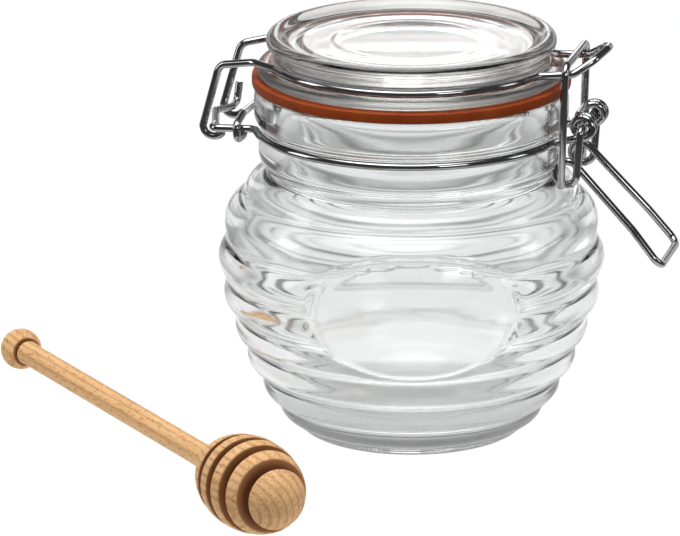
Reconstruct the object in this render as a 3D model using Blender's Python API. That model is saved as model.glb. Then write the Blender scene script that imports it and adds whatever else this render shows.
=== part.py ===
"""Clip-top glass honey jar, shut and empty, with a wooden honey dipper lying beside it.

Sizes are in millimetres and are turned into metres where a mesh is made.
The jar stands at the origin, the hinge is towards -X and the latch towards +X.
"""
import math

import bpy
import bmesh
from mathutils import Matrix, Vector

MM = 0.001

# joints
HINGE = Vector((-52.2, 0.0, 83.9))
LEVER_PIVOT = Vector((48.8, 0.0, 88.8))
LINK_TOP = Vector((45.1, 0.0, 106.6))

# wire
WIRE_R = 1.05
WIRE_SIDES = 8
BEND_STEP = math.radians(24)
RING_STEP = math.radians(14)
RING_MARGIN = math.radians(7)
SHORTEST_STEP = 0.05
ROOT_BEND = 2.6

# jar, outer side: grooves between the ribs from the shoulder down to the base, as (z, radius)
RIB_GROOVES = [(65.6, 45.7), (53.8, 49.6), (42.8, 49.65), (32.7, 46.65), (24.7, 43.8),
               (16.1, 40.1), (8.2, 35.7), (2.8, 31.2), (0.0, 27.7)]
RIB_BULGE = [2.9, 2.9, 2.8, 2.7, 2.7, 2.3, 2.0, 1.0]
RIB_STEPS = 4
RIB_CREST = [(0.0, 27.7), (6.9, 35.9), (13.1, 40.5), (21.0, 44.8), (29.0, 48.0), (38.4, 51.0),
             (48.2, 52.5), (58.2, 50.7), (65.6, 47.0)]
SHOULDER_TOP = (71.9, 39.4)
SHOULDER_BULGE = 1.4
NECK_OUTSIDE = [(39.4, 71.9), (39.4, 74.0), (40.1, 75.3), (41.3, 76.6), (41.3, 81.2), (40.8, 83.2),
                (40.8, 85.1), (41.5, 86.1), (42.5, 87.0), (42.5, 93.4), (42.0, 94.7), (40.8, 95.8)]
JAR_INSIDE = [(37.0, 95.8), (35.9, 95.1), (35.6, 93.6), (35.6, 74.0), (36.4, 71.3), (41.2, 65.8),
              (45.3, 60.5), (47.6, 54.0), (48.3, 48.2), (47.7, 41.0), (45.4, 32.0), (42.4, 24.0),
              (38.4, 15.0), (34.2, 8.8), (29.5, 5.4), (22.0, 4.2), (0.0, 4.0)]

# plain oval field on the front of the jar
PANEL_AZIMUTH = math.radians(-76.3)
PANEL_HALF_ANGLE = math.radians(32)
PANEL_MID_Z = 43.5
PANEL_HALF_HEIGHT = 17.0
PANEL_POWER = 2.3
PANEL_EDGE = 0.24
PANEL_COLUMNS = 14
PANEL_COLUMN_STEP = math.radians(5)
OTHER_COLUMNS = 34

# lid, from the middle of its top round the rim to the middle of its underside
LID_TOP = [(0.0, 108.0), (17.4, 108.0), (18.6, 108.6), (20.8, 108.6), (22.0, 108.0), (26.6, 108.0),
           (27.4, 108.45), (30.0, 108.45), (30.8, 108.0), (33.0, 108.0)]
LID_RIM = [(34.4, 109.1), (35.6, 110.0), (37.0, 110.25), (38.3, 109.8), (39.1, 108.6), (38.9, 107.2),
           (38.0, 106.0), (37.2, 105.2)]
LID_FLANGE = [(37.2, 102.5), (37.9, 101.8), (40.4, 101.8), (41.4, 101.2), (41.6, 100.4), (41.3, 99.5),
              (40.6, 99.2)]
LID_UNDERSIDE = [(35.3, 99.2), (34.9, 98.4), (34.4, 96.2), (33.6, 95.0), (31.9, 94.9), (31.0, 95.6),
                 (30.0, 100.6), (28.0, 102.8), (0.0, 103.2)]
LID_COLUMNS = 36

# sealing ring
SEAL_INNER_R = 36.0
SEAL_OUTER_R = 43.0
SEAL_LOW_Z = 96.1
SEAL_HIGH_Z = 98.9
SEAL_EDGE = 0.4

# wire round the lid's neck, its hinge arms and its beak
LID_RING_R = 38.6
LID_RING_Z = 103.2
ARM_ROOT_Y = 21.0
ARM_KINK = Vector((-40.0, 14.6, 103.1))
ARM_KINK_BEND = 6.0
ARM_CORNER = Vector((-50.3, 11.7, 101.1))
ARM_BEND = 3.2
ARM_FOOT_Y = 11.0
HOOK_R = 3.0
HOOK_SWEEP = math.radians(148)
BEAK_ROOT_Y = 12.0
BEAK_ROOT_OUT = 0.5
BEAK_SIDE = Vector((46.6, 10.9, 103.9))
BEAK_SHOULDER = Vector((51.6, 8.0, 107.3))
BEAK_TIP = Vector((53.9, 1.6, 109.0))
BEAK_BEND = 4.0
BEAK_TIP_BEND = 1.6

# wire round the jar's neck
NECK_RING_R = 42.2
NECK_RING_Z = 84.3
STRETCH_Y = 13.6
CROSSBAR_APEX = Vector((-54.8, 1.0, 84.8))
CROSSBAR_BOW_Y = 9.2
CROSSBAR_BEND = 2.0
BOW_BEND = 1.5
STUB_Y = 14.3
STUB_TOP = Vector((-51.6, 14.6, 89.6))
TIE_FAR_CORNER = Vector((-44.6, 12.6, 86.0))
TIE_CROWN = Vector((-44.6, -9.0, 87.2))
TIE_NEAR_CORNER = Vector((-44.6, -16.2, 85.8))
TIE_LOW_CORNER = Vector((-44.4, -16.2, 81.7))
TIE_INNER_CORNER = Vector((-43.8, -11.0, 81.7))
TIE_END = Vector((-43.8, -11.0, 84.1))
TIE_BEND = 2.0
TIE_HOOK_BEND = 1.6
COIL_R = 2.65
COIL_OUTER_Y = 9.45
COIL_PITCH = 2.4
COIL_TURNS = 1.5
COIL_STEPS = 10
EYE_LEAD = Vector((1.6, 0.0, 0.2))
EYE_BEND = 2.0
BRIDGE_REACH = 2.0
BRIDGE_SIDE = 0.6
BRIDGE_DROP = 0.3
BRIDGE_BEND = 1.3

# lever
LEVER_Y = 11.9
LEVER_PIN_Y = 5.6
LEVER_PIN_BEND = 1.4
LOOP_MIDDLE = Vector((44.9, 0.0, 76.6))
LOOP_R = 3.0
LOOP_END_ANGLE = math.radians(45)
LOOP_STEPS = 12
HANDLE_ROOT_Y = 9.5
HANDLE_KNEE = Vector((63.2, 10.7, 61.8))
HANDLE_KNEE_BEND = 8.0
HANDLE_CORNER = Vector((71.0, 12.0, 52.5))
HANDLE_CORNER_BEND = 3.0

# link
LINK_Y = 14.3
LINK_FOOT = Vector((44.2, 14.3, 73.2))
LINK_BEND = 3.0

# dipper
BALL = Vector((-117.5, 22.9, 5.8))
HEAD = Vector((-20.4, -97.5, 12.53))
BALL_R = 5.75
BALL_GROOVE = (3.9, 4.9)
BALL_GROOVE_R = 2.6
BALL_STEPS = 9
STICK_R = 3.2
STICK_COLLAR_R = 3.4
STICK_COLLAR = 3.0
STICK_HEAD_R = 3.5
STICK_FLARE = 14.0
HEAD_HALF_LENGTH = 21.9
HEAD_R = 12.47
HEAD_GROOVES = [(-8.0, -5.0), (-1.2, 1.8), (5.7, 8.9), (12.9, 16.3)]
HEAD_CORE_R = 5.6
HEAD_BACK = -20.9
HEAD_BACK_EDGE = 0.6
DIPPER_COLUMNS = 20


def clear_scene():
    for obj in list(bpy.data.objects):
        bpy.data.objects.remove(obj, do_unlink=True)


def make_material(name, colour, roughness, metallic):
    mat = bpy.data.materials.new(name)
    mat.use_nodes = True
    shader = mat.node_tree.nodes["Principled BSDF"]
    shader.inputs["Base Color"].default_value = (*colour, 1.0)
    shader.inputs["Roughness"].default_value = roughness
    shader.inputs["Metallic"].default_value = metallic
    return mat


def finish_object(name, bm, mat, origin=Vector((0.0, 0.0, 0.0)), sharp=math.radians(45)):
    """Turns a bmesh in millimetres into an object whose origin is at the point given."""
    bmesh.ops.recalc_face_normals(bm, faces=bm.faces)
    bmesh.ops.transform(bm, matrix=Matrix.Scale(MM, 4) @ Matrix.Translation(-origin), verts=bm.verts)
    mesh = bpy.data.meshes.new(name)
    bm.to_mesh(mesh)
    bm.free()
    for face in mesh.polygons:
        face.use_smooth = True
    mesh.set_sharp_from_angle(angle=sharp)
    mesh.materials.append(mat)
    obj = bpy.data.objects.new(name, mesh)
    obj.location = origin * MM
    bpy.context.scene.collection.objects.link(obj)
    return obj


def skin_rows(bm, rows):
    """Joins neighbouring rows of points; a row of one point closes the skin like a cap."""
    made = [[bm.verts.new(p) for p in row] for row in rows]
    for upper, lower in zip(made, made[1:]):
        count = max(len(upper), len(lower))
        for i in range(count):
            j = (i + 1) % count
            if len(upper) == 1:
                bm.faces.new((upper[0], lower[i], lower[j]))
            elif len(lower) == 1:
                bm.faces.new((upper[i], lower[0], upper[j]))
            else:
                bm.faces.new((upper[i], lower[i], lower[j], upper[j]))
    return made


def turned(name, profile, columns, mat, closed=False, place=None, origin=Vector((0.0, 0.0, 0.0))):
    """A body of revolution about Z from (radius, z) points."""
    bm = bmesh.new()
    rows = []
    for r, z in profile:
        if r == 0.0:
            rows.append([Vector((0.0, 0.0, z))])
        else:
            angles = [2 * math.pi * i / columns for i in range(columns)]
            rows.append([Vector((r * math.cos(a), r * math.sin(a), z)) for a in angles])
    made = skin_rows(bm, rows)
    if closed:
        last, first = made[-1], made[0]
        for i in range(columns):
            j = (i + 1) % columns
            bm.faces.new((last[i], first[i], first[j], last[j]))
    if place is not None:
        bmesh.ops.transform(bm, matrix=place, verts=bm.verts)
    return finish_object(name, bm, mat, origin)


def at_height(table, z):
    """Straight-line reading of a (z, value) table that runs upwards."""
    for (z0, v0), (z1, v1) in zip(table, table[1:]):
        if z <= z1:
            return v0 + (v1 - v0) * (z - z0) / (z1 - z0)
    return table[-1][1]


def bulged(start, end, bulge, steps):
    """Points of a shallow bow from one (radius, z) point to the next, without the last."""
    length = math.hypot(end[0] - start[0], end[1] - start[1])
    across = ((start[1] - end[1]) / length, (end[0] - start[0]) / length)
    points = []
    for i in range(steps):
        t = i / steps
        rise = 4 * t * (1 - t) * bulge
        points.append((start[0] + (end[0] - start[0]) * t + across[0] * rise,
                       start[1] + (end[1] - start[1]) * t + across[1] * rise))
    return points


def jar_outside():
    """Outer profile from the rim down to the edge of the base, as (radius, z)."""
    profile = [(r, z) for r, z in reversed(NECK_OUTSIDE[1:])]
    neck_foot = (SHOULDER_TOP[1], SHOULDER_TOP[0])
    top_groove = (RIB_GROOVES[0][1], RIB_GROOVES[0][0])
    profile += bulged(neck_foot, top_groove, SHOULDER_BULGE, RIB_STEPS)
    for upper, lower, bulge in zip(RIB_GROOVES, RIB_GROOVES[1:], RIB_BULGE):
        profile += bulged((upper[1], upper[0]), (lower[1], lower[0]), bulge, RIB_STEPS)
    profile.append((RIB_GROOVES[-1][1], RIB_GROOVES[-1][0]))
    return profile


def panel_share(angle, z):
    """How far the plain oval field covers the ribs, 1 inside it and 0 outside it."""
    across = abs(angle) / PANEL_HALF_ANGLE
    along = abs(z - PANEL_MID_Z) / PANEL_HALF_HEIGHT
    reach = across ** PANEL_POWER + along ** PANEL_POWER
    return min(1.0, max(0.0, (1 + PANEL_EDGE / 2 - reach) / PANEL_EDGE))


def jar_columns():
    """Angles from the middle of the oval field, close together across it."""
    half = PANEL_COLUMNS * PANEL_COLUMN_STEP / 2
    angles = [-half + PANEL_COLUMN_STEP * i for i in range(PANEL_COLUMNS)]
    rest = 2 * math.pi - 2 * half
    angles += [half + rest * i / OTHER_COLUMNS for i in range(OTHER_COLUMNS)]
    return angles


def make_jar(mat):
    angles = jar_columns()
    rows = []
    for r, z in jar_outside():
        crest = max(r, at_height(RIB_CREST, z))
        row = []
        for a in angles:
            radius = r + (crest - r) * panel_share(a, z)
            turn = a + PANEL_AZIMUTH
            row.append(Vector((radius * math.cos(turn), radius * math.sin(turn), z)))
        rows.append(row)
    inside = []
    for r, z in JAR_INSIDE:
        if r == 0.0:
            inside.append([Vector((0.0, 0.0, z))])
        else:
            turns = [a + PANEL_AZIMUTH for a in angles]
            inside.append([Vector((r * math.cos(t), r * math.sin(t), z)) for t in turns])
    bm = bmesh.new()
    base = [[Vector((0.0, 0.0, 0.0))]]
    skin_rows(bm, base + list(reversed(rows)) + inside)
    return finish_object("jar_glass", bm, mat)


def make_lid(mat):
    profile = LID_TOP + LID_RIM + LID_FLANGE + LID_UNDERSIDE
    return turned("lid_glass", profile, LID_COLUMNS, mat, origin=HINGE)


def make_seal(mat):
    low, high, edge = SEAL_LOW_Z, SEAL_HIGH_Z, SEAL_EDGE
    profile = [(SEAL_INNER_R, low), (SEAL_OUTER_R - edge, low), (SEAL_OUTER_R, low + edge),
               (SEAL_OUTER_R, high - edge), (SEAL_OUTER_R - edge, high), (SEAL_INNER_R, high)]
    return turned("seal_ring", profile, LID_COLUMNS, mat, closed=True, origin=HINGE)


def bent(corners):
    """A wire's centre line through corner points, each rounded to its own bend radius."""
    points = [corners[0][0]]
    for (before, _), (corner, radius), (after, _) in zip(corners, corners[1:], corners[2:]):
        back = (before - corner).normalized()
        ahead = (after - corner).normalized()
        opening = back.angle(ahead)
        turn = math.pi - opening
        reach = radius * math.tan(turn / 2)
        middle = corner + (back + ahead).normalized() * radius / math.sin(opening / 2)
        first = corner + back * reach - middle
        axis = back.cross(first).normalized()
        steps = max(1, math.ceil(turn / BEND_STEP))
        for i in range(steps + 1):
            points.append(middle + Matrix.Rotation(turn * i / steps, 3, axis) @ first)
    points.append(corners[-1][0])
    return points


def on_ring(radius, z, angle):
    return Vector((radius * math.cos(angle), radius * math.sin(angle), z))


def ring_part(radius, z, start, end):
    """Points of a round wire from one angle to another, both included."""
    steps = max(1, round(abs(end - start) / RING_STEP))
    return [on_ring(radius, z, start + (end - start) * i / steps) for i in range(steps + 1)]


def mirrored(points):
    """The same points on the other side of the jar, in the opposite order."""
    return [Vector((p.x, -p.y, p.z)) for p in reversed(points)]


def wire(name, points, mat, origin=Vector((0.0, 0.0, 0.0))):
    """A round wire along a centre line, with flat ends."""
    kept = [points[0]]
    for p in points[1:]:
        if (p - kept[-1]).length > SHORTEST_STEP:
            kept.append(p)
    tangents = []
    for i in range(len(kept)):
        before = kept[max(i - 1, 0)]
        after = kept[min(i + 1, len(kept) - 1)]
        arriving = (kept[i] - before).normalized()
        leaving = (after - kept[i]).normalized()
        tangents.append((arriving + leaving).normalized())
    side = tangents[0].orthogonal().normalized()
    rows = [[kept[0]]]
    for i, (point, tangent) in enumerate(zip(kept, tangents)):
        if i > 0:
            side = tangents[i - 1].rotation_difference(tangent) @ side
        side = (side - tangent * side.dot(tangent)).normalized()
        other = tangent.cross(side)
        row = []
        for k in range(WIRE_SIDES):
            a = 2 * math.pi * k / WIRE_SIDES
            row.append(point + (side * math.cos(a) + other * math.sin(a)) * WIRE_R)
        rows.append(row)
    rows.append([kept[-1]])
    bm = bmesh.new()
    skin_rows(bm, rows)
    return finish_object(name, bm, mat, origin, sharp=math.radians(60))


def lid_wire_half():
    """One side of the lid's wire, from the hook at the hinge to the tip of the beak."""
    hook = []
    steps = math.ceil(HOOK_SWEEP / BEND_STEP)
    for i in range(steps + 1):
        a = HOOK_SWEEP * (1 - i / steps)
        hook.append(HINGE + Vector((-HOOK_R * math.cos(a), ARM_FOOT_Y, -HOOK_R * math.sin(a))))
    arm_root = math.pi - math.asin(ARM_ROOT_Y / LID_RING_R)
    ring_start = arm_root - RING_MARGIN
    ring_end = math.asin(BEAK_ROOT_Y / LID_RING_R) + RING_MARGIN
    ring = ring_part(LID_RING_R, LID_RING_Z, ring_start, ring_end)
    arm = bent([(hook[-1], 0.0), (ARM_CORNER, ARM_BEND), (ARM_KINK, ARM_KINK_BEND),
                (on_ring(LID_RING_R, LID_RING_Z, arm_root), ARM_KINK_BEND), (ring[0], 0.0)])
    beak_root = on_ring(LID_RING_R, LID_RING_Z, math.asin(BEAK_ROOT_Y / LID_RING_R))
    beak_root.x += BEAK_ROOT_OUT
    beak = bent([(ring[-1], 0.0), (beak_root, ROOT_BEND), (BEAK_SIDE, BEAK_BEND),
                 (BEAK_SHOULDER, BEAK_BEND), (BEAK_TIP, BEAK_TIP_BEND),
                 (Vector((BEAK_TIP.x, 0.0, BEAK_TIP.z)), 0.0)])
    return hook[:-1] + arm + ring[1:-1] + beak


def make_lid_wire(mat):
    half = lid_wire_half()
    return wire("lid_wire", half + mirrored(half)[1:], mat, origin=HINGE)


def coil(side):
    """One eye at the latch, from the neck towards the middle of the jar; side is -1 or +1."""
    points = []
    steps = round(COIL_TURNS * COIL_STEPS)
    for i in range(steps + 1):
        turn = 2 * math.pi * COIL_TURNS * i / steps
        y = COIL_OUTER_Y - COIL_PITCH * COIL_TURNS * i / steps
        points.append(LEVER_PIVOT + Vector((COIL_R * math.sin(turn), side * y, -COIL_R * math.cos(turn))))
    return points


def latch_side(side):
    """The neck wire from the ring out to its eye, ending at the bridge between the eyes."""
    root_angle = side * math.asin(COIL_OUTER_Y / NECK_RING_R)
    start = on_ring(NECK_RING_R, NECK_RING_Z, root_angle + side * RING_MARGIN)
    root = on_ring(NECK_RING_R, NECK_RING_Z, root_angle)
    eye = coil(side)
    run = bent([(start, 0.0), (root, ROOT_BEND), (eye[0] - EYE_LEAD, EYE_BEND), (eye[0], 0.0)])
    inner = eye[-1]
    corner = inner - Vector((BRIDGE_REACH, side * BRIDGE_SIDE, BRIDGE_DROP))
    bridge = bent([(inner, 0.0), (corner, BRIDGE_BEND), (Vector((corner.x, 0.0, corner.z)), 0.0)])
    return run + eye[1:-1] + bridge


def hinge_line(y):
    """The point of the hinge's axis at this distance from the middle."""
    return Vector((HINGE.x, y, HINGE.z))


def make_neck_wire(mat):
    near_root = -math.pi + math.asin(STRETCH_Y / NECK_RING_R)
    far_root = math.pi - math.asin(TIE_FAR_CORNER.y / NECK_RING_R)
    eye_root = math.asin(COIL_OUTER_Y / NECK_RING_R) + RING_MARGIN
    near_ring = ring_part(NECK_RING_R, NECK_RING_Z, near_root + RING_MARGIN, -eye_root)
    far_ring = ring_part(NECK_RING_R, NECK_RING_Z, eye_root, far_root - RING_MARGIN)
    near = bent([(STUB_TOP, 0.0), (hinge_line(STUB_Y), CROSSBAR_BEND),
                 (hinge_line(CROSSBAR_BOW_Y), BOW_BEND), (CROSSBAR_APEX, BOW_BEND),
                 (hinge_line(-CROSSBAR_BOW_Y), BOW_BEND), (hinge_line(-STRETCH_Y), CROSSBAR_BEND),
                 (on_ring(NECK_RING_R, NECK_RING_Z, near_root), ROOT_BEND), (near_ring[0], 0.0)])
    tie = bent([(far_ring[-1], 0.0), (on_ring(NECK_RING_R, NECK_RING_Z, far_root), TIE_BEND),
                (TIE_FAR_CORNER, TIE_BEND), (TIE_CROWN, TIE_BEND), (TIE_NEAR_CORNER, TIE_HOOK_BEND),
                (TIE_LOW_CORNER, TIE_HOOK_BEND), (TIE_INNER_CORNER, TIE_HOOK_BEND), (TIE_END, 0.0)])
    path = near + near_ring[1:-1] + latch_side(-1)
    path += list(reversed(latch_side(1))) + far_ring[1:-1] + tie
    return wire("neck_wire", path, mat)


def lever_half():
    """One side of the lever, from its pin in the eye to the middle of the grip."""
    down = LOOP_MIDDLE - LEVER_PIVOT
    lean = math.asin(LOOP_R / down.length)
    heading = math.atan2(down.z, down.x) + lean
    touch = math.sqrt(down.length ** 2 - LOOP_R ** 2)
    entry = LEVER_PIVOT + Vector((math.cos(heading), 0.0, math.sin(heading))) * touch
    start = math.atan2((entry - LOOP_MIDDLE).z, (entry - LOOP_MIDDLE).x)
    sweep = 2 * math.pi + start - LOOP_END_ANGLE
    loop = []
    for i in range(LOOP_STEPS + 1):
        t = i / LOOP_STEPS
        a = start - sweep * t
        y = LEVER_Y + (HANDLE_ROOT_Y - LEVER_Y) * t
        loop.append(LOOP_MIDDLE + Vector((LOOP_R * math.cos(a), y, LOOP_R * math.sin(a))))
    pin = bent([(LEVER_PIVOT + Vector((0.0, LEVER_PIN_Y, 0.0)), 0.0),
                (LEVER_PIVOT + Vector((0.0, LEVER_Y, 0.0)), LEVER_PIN_BEND), (loop[0], 0.0)])
    grip = bent([(loop[-1], 0.0), (HANDLE_KNEE, HANDLE_KNEE_BEND),
                 (HANDLE_CORNER, HANDLE_CORNER_BEND),
                 (Vector((HANDLE_CORNER.x, 0.0, HANDLE_CORNER.z)), 0.0)])
    return pin[:-1] + loop[:-1] + grip


def make_lever(mat):
    half = lever_half()
    return wire("lever", half + mirrored(half)[1:], mat, origin=LEVER_PIVOT)


def make_link(mat):
    foot = LINK_FOOT
    top = LINK_TOP + Vector((0.0, LINK_Y, 0.0))
    other_top = LINK_TOP - Vector((0.0, LINK_Y, 0.0))
    other_foot = Vector((foot.x, -foot.y, foot.z))
    path = bent([(foot, 0.0), (top, LINK_BEND), (other_top, LINK_BEND), (other_foot, 0.0)])
    return wire("link", path, mat, origin=LINK_TOP)


def head_radius(s):
    """Radius of the dipper's egg-shaped head at a distance from its middle."""
    return HEAD_R * math.sqrt(max(0.0, 1 - (s / HEAD_HALF_LENGTH) ** 2))


def dipper_profile(length):
    """(radius, distance from the ball's middle) along the dipper, ball first."""
    profile = [(0.0, -BALL_R)]
    end_angle = math.acos(-BALL_GROOVE[0] / BALL_R)
    for i in range(1, BALL_STEPS + 1):
        a = end_angle * i / BALL_STEPS
        profile.append((BALL_R * math.sin(a), -BALL_R * math.cos(a)))
    profile += [(BALL_GROOVE_R, BALL_GROOVE[0]), (BALL_GROOVE_R, BALL_GROOVE[1]),
                (STICK_COLLAR_R, BALL_GROOVE[1]), (STICK_R, BALL_GROOVE[1] + STICK_COLLAR)]
    profile += [(STICK_R, length + HEAD_BACK - STICK_FLARE), (STICK_HEAD_R, length + HEAD_BACK)]
    edges = [HEAD_BACK + HEAD_BACK_EDGE]
    for a, b in HEAD_GROOVES:
        edges += [a, b]
    edges.append(HEAD_HALF_LENGTH)
    for k in range(0, len(edges), 2):
        start, end = edges[k], edges[k + 1]
        steps = 4 if k in (0, len(edges) - 2) else 2
        for i in range(steps + 1):
            s = start + (end - start) * i / steps
            if k == len(edges) - 2:
                s = start + (end - start) * math.sin(math.pi / 2 * i / steps)
            elif k == 0:
                s = end - (end - start) * math.cos(math.pi / 2 * i / steps)
            radius = head_radius(s)
            profile.append((0.0 if s >= HEAD_HALF_LENGTH else radius, length + s))
        if k < len(edges) - 2:
            profile += [(HEAD_CORE_R, length + end), (HEAD_CORE_R, length + edges[k + 2])]
    return profile


def make_dipper(mat):
    along = HEAD - BALL
    place = Matrix.Translation(BALL) @ along.to_track_quat("Z", "Y").to_matrix().to_4x4()
    return turned("dipper", dipper_profile(along.length), DIPPER_COLUMNS, mat, place=place)


def main():
    clear_scene()
    glass = make_material("clear_glass", (0.86, 0.90, 0.89), 0.05, 0.0)
    lid_glass = make_material("lid_clear_glass", (0.84, 0.88, 0.86), 0.05, 0.0)
    rubber = make_material("orange_rubber", (0.80, 0.22, 0.05), 0.55, 0.0)
    wood = make_material("beech_wood", (0.80, 0.58, 0.36), 0.6, 0.0)
    make_jar(glass)
    make_lid(lid_glass)
    make_seal(rubber)
    make_neck_wire(make_material("neck_wire_steel", (0.80, 0.80, 0.81), 0.15, 1.0))
    make_lid_wire(make_material("lid_wire_steel", (0.82, 0.82, 0.83), 0.15, 1.0))
    make_lever(make_material("lever_steel", (0.81, 0.81, 0.82), 0.15, 1.0))
    make_link(make_material("link_steel", (0.81, 0.81, 0.82), 0.15, 1.0))
    make_dipper(wood)


main()
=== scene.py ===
"""Looks of a clip-top honey jar and its wooden dipper: glass, wire, rubber and beech.

Sizes are in millimetres and are turned into metres where a mesh is made. The jar stands at the
origin, the hinge is towards -X and the latch towards +X.
"""

import math

import bpy
from mathutils import Matrix, Vector


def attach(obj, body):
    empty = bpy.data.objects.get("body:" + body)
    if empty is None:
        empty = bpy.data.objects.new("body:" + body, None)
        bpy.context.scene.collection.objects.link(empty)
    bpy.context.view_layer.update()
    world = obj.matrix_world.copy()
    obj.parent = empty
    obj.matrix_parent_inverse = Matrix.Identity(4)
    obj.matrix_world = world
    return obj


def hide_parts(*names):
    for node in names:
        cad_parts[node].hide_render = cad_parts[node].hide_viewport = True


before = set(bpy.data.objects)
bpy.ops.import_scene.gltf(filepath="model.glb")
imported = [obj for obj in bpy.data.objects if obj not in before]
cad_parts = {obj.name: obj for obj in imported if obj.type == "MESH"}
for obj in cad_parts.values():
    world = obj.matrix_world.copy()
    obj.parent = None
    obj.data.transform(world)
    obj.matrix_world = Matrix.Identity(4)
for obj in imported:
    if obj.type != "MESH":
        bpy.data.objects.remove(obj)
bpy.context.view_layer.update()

MM = 0.001
FULL_TURN = 2 * math.pi

# camera: turned round the jar and tilted down as in the photograph; its view depth is in metres
IMAGE_WIDTH = 680
LENS_PIXELS = 6584.0
SENSOR = 36.0
CAMERA_DISTANCE = 1712.0
CAMERA_HEIGHT = 556.0
CAMERA_TURN = math.radians(13)
CAMERA_TILT = math.radians(16.65)
JAR_AXIS_PIXEL = 411.5
VIEW_DEPTH = 50.0

# joints
HINGE = Vector((-52.2, 0.0, 83.9))
LEVER_PIVOT = Vector((48.8, 0.0, 88.8))
LINK_TOP = Vector((45.1, 0.0, 106.6))

# jar, outer side: grooves between the ribs, as (z, radius) from the shoulder to the base
RIB_GROOVES = [(65.6, 45.7), (53.8, 49.6), (42.8, 49.65), (32.7, 46.65), (24.7, 43.8),
               (16.1, 40.1), (8.2, 36.2), (2.8, 31.6), (0.0, 27.9)]
RIB_BULGE = [2.8, 2.8, 2.75, 2.7, 2.7, 2.1, 1.5, 0.8]
RIB_STEPS = 12
VALLEY_ROUNDS = 3
# line over the tops of the ribs, as (z, radius)
RIB_CREST = [(6.9, 35.9), (13.1, 40.5), (21.0, 44.8), (29.0, 48.0), (38.4, 51.0), (48.2, 52.4),
             (58.2, 50.7), (65.6, 47.0), (70.0, 42.0)]
SHOULDER_TOP = (39.4, 71.9)
SHOULDER_BULGE = 1.4
# neck and inner wall, as (radius, z) from the rim down
NECK_OUTSIDE = [(40.8, 95.8), (41.55, 95.45), (42.05, 94.7), (42.3, 93.6), (42.45, 92.2), (42.5, 90.4),
                (42.45, 88.6), (42.3, 87.4), (42.0, 86.7), (41.4, 86.1), (40.95, 85.4), (40.8, 84.6),
                (40.8, 83.6), (40.95, 82.7), (41.15, 81.8), (41.28, 80.8), (41.3, 79.2), (41.28, 77.6),
                (41.1, 76.5), (40.5, 75.6), (39.8, 75.0), (39.4, 74.2), (39.35, 73.0)]
JAR_INSIDE = [(37.0, 95.8), (36.2, 95.4), (35.75, 94.6), (35.65, 93.4), (35.65, 84.0), (35.65, 75.0),
              (36.0, 72.2), (37.6, 69.4), (41.2, 65.8), (45.3, 60.5), (47.6, 54.0), (48.3, 48.2),
              (47.7, 41.0), (45.4, 32.0), (42.4, 24.0), (38.4, 15.0), (34.2, 8.8), (29.5, 5.4),
              (22.0, 4.2), (11.0, 4.0), (0.0, 4.0)]
JAR_COLUMNS = 260
JAR_SMOOTH = 38
NECK_ROUNDS = 1
CREST_ROUNDS = 3
INSIDE_ROUNDS = 3
# points up to this far outside the inner wall's line still belong to the inner wall
WALL_MARGIN = 0.5

# blown inside: share of the ribs' depth, heights and panel reach between which it fades in or out
INSIDE_FOLLOW = 0.3
INSIDE_START = (8.0, 16.0)
INSIDE_END = (66.0, 74.0)
INSIDE_ASIDE = (0.9, 2.8)
# soft waves, as (height in mm, waves round the jar, mm of z per radian)
INSIDE_WAVES = [(0.12, 2, 11.0), (0.07, 5, -5.2), (0.04, 9, 3.7)]

# floor of the jar's inside: heights that enclose it, and its radius
INNER_FLOOR_LOW = 3.5
INNER_FLOOR_TOP = 4.1
INNER_FLOOR_R = 25.0

# plain oval field on the front of the jar, with a shallow valley round it
PANEL_AZIMUTH = math.radians(-76.3)
PANEL_HALF_ANGLE = math.radians(32)
PANEL_MID_Z = 43.5
PANEL_HALF_HEIGHT = 17.0
PANEL_MARGIN = 1.2
PANEL_POWER = 2.3
PANEL_BLEND = 0.14
PANEL_VALLEY = 0.55
PANEL_VALLEY_REACH = 0.97
PANEL_VALLEY_HALF = 0.12

# fine teeth pressed into the edge of the base
TOOTH_RISE = 0.3
TOOTH_LOW_Z = 0.2
TOOTH_TOP_Z = 2.9
TOOTH_INNER_R = 28.0

# lid, from the middle of its top round the rim to the middle of its underside
LID_OUTLINE = [(0.0, 107.55), (4.0, 107.57), (8.0, 107.65), (12.0, 107.78), (15.0, 107.9),
               (17.0, 108.0), (18.2, 108.06), (19.4, 108.14), (20.4, 108.14), (21.4, 108.06),
               (22.6, 108.0), (26.0, 108.0), (27.2, 108.06), (28.2, 108.14), (29.2, 108.14),
               (30.2, 108.06), (31.4, 108.0), (32.6, 108.0),
               (33.4, 108.25), (34.4, 109.1), (35.4, 109.85), (36.2, 110.15), (37.0, 110.25),
               (37.8, 110.05), (38.5, 109.6), (38.95, 108.95), (39.1, 108.2), (38.95, 107.3),
               (38.5, 106.5), (37.9, 105.9), (37.4, 105.3), (37.2, 104.6), (37.2, 102.8), (37.4, 102.2),
               (37.9, 101.85), (38.6, 101.8), (40.2, 101.8), (41.0, 101.6), (41.45, 101.1),
               (41.6, 100.4), (41.5, 99.8), (41.1, 99.35), (40.5, 99.2), (35.5, 99.2), (35.15, 98.9),
               (34.9, 98.2), (34.5, 96.2), (34.1, 95.4), (33.5, 95.0), (32.2, 94.9), (31.5, 95.1),
               (31.0, 95.7), (30.0, 100.6), (29.2, 102.0), (28.0, 102.8), (26.0, 103.1), (0.0, 103.2)]
LID_COLUMNS = 160
LID_SMOOTH = 50
LID_ROUNDS = 1

# sealing ring
SEAL_OUTLINE = [(36.0, 96.25), (36.2, 96.1), (42.5, 96.1), (42.9, 96.3), (43.0, 96.8), (43.0, 98.2),
                (42.9, 98.7), (42.5, 98.9), (36.2, 98.9), (36.0, 98.75)]
SEAL_COLUMNS = 160
SEAL_SMOOTH = 50

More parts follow.
